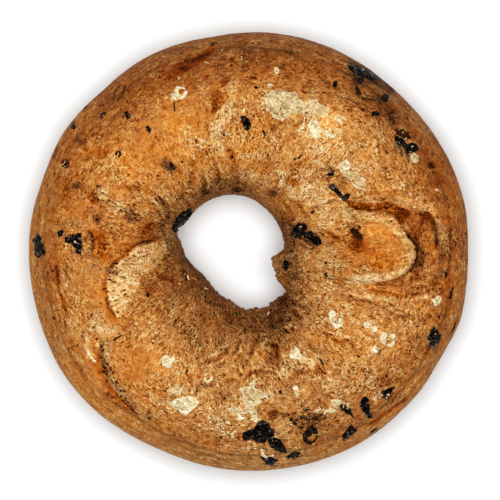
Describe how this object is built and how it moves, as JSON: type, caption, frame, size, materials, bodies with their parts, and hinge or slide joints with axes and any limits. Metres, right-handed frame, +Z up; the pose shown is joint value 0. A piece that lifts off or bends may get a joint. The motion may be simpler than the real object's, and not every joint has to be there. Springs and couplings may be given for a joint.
{
  "type": "bagel",
  "caption": "Whole baked bagel with an off-centre hole, a browned uneven crust, seams and folds, and chopped dark fruit or olive baked into its upper side.",
  "frame": {"origin": "middle of the footprint, on the surface that the bagel lies on", "axes": "+Z up through the ring, shown side up; the rope's folded end lies on the +X side of the hole, and +Y is away from a viewer who stands in front"},
  "size_m": [0.11, 0.1097, 0.0381],
  "materials": {
    "crust": "matte",
    "dark_fruit": "satin",
    "pale_crumb": "matte"
  },
  "bodies": {
    "root": {"bagel": "crust"}
  },
  "joints": []
}
